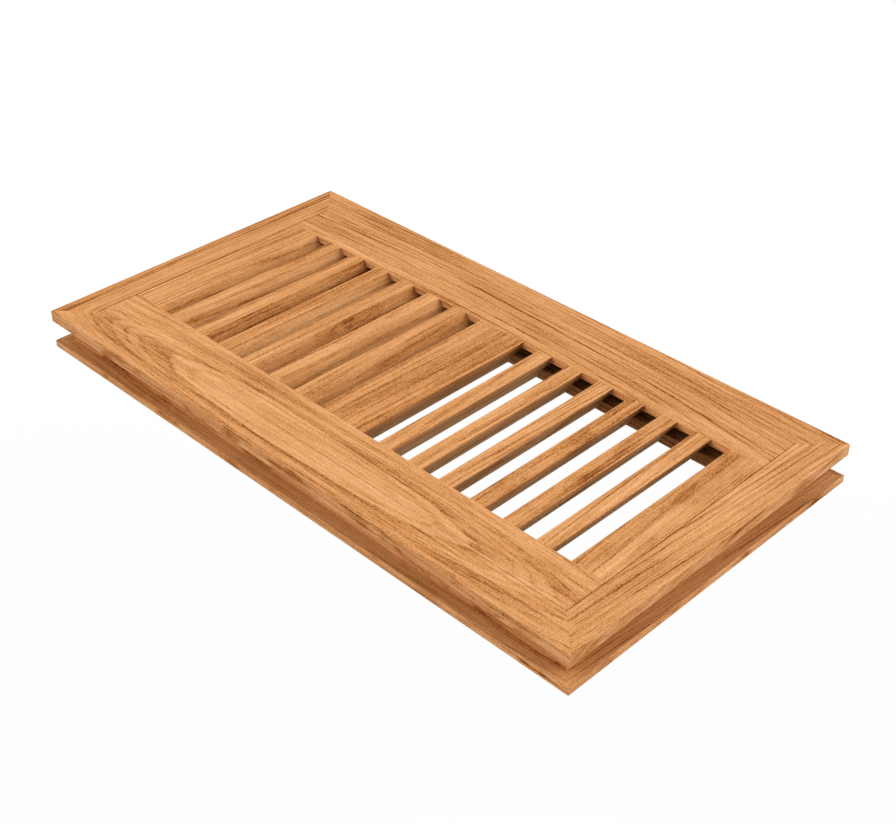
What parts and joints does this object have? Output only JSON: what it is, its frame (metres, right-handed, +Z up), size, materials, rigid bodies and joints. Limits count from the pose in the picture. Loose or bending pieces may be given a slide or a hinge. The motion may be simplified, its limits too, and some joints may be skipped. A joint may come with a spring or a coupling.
{
  "type": "floor register",
  "caption": "Flush-mount wooden floor register: a mitred frame with a grooved edge for the floor boards, holding a drop-in insert of tilted louvres in two banks.",
  "frame": {"origin": "centre of the underside of the frame, where it rests on the subfloor", "axes": "+X along the length, +Y across towards the back, +Z up out of the floor"},
  "size_m": [0.3118, 0.1682, 0.0191],
  "materials": {
    "frame_oak": "satin",
    "insert_oak": "satin",
    "slat_oak": "satin"
  },
  "bodies": {
    "root": {"frame_front": "frame_oak", "frame_back": "frame_oak", "frame_left": "frame_oak", "frame_right": "frame_oak", "stile_front": "insert_oak", "stile_back": "insert_oak", "rail_left": "insert_oak", "rail_right": "insert_oak", "centre_bar": "insert_oak", "slat_left_1": "slat_oak", "slat_left_2": "slat_oak", "slat_left_3": "slat_oak", "slat_left_4": "slat_oak", "slat_left_5": "slat_oak", "slat_left_6": "slat_oak", "slat_right_1": "slat_oak", "slat_right_2": "slat_oak", "slat_right_3": "slat_oak", "slat_right_4": "slat_oak", "slat_right_5": "slat_oak", "slat_right_6": "slat_oak"}
  },
  "joints": []
}
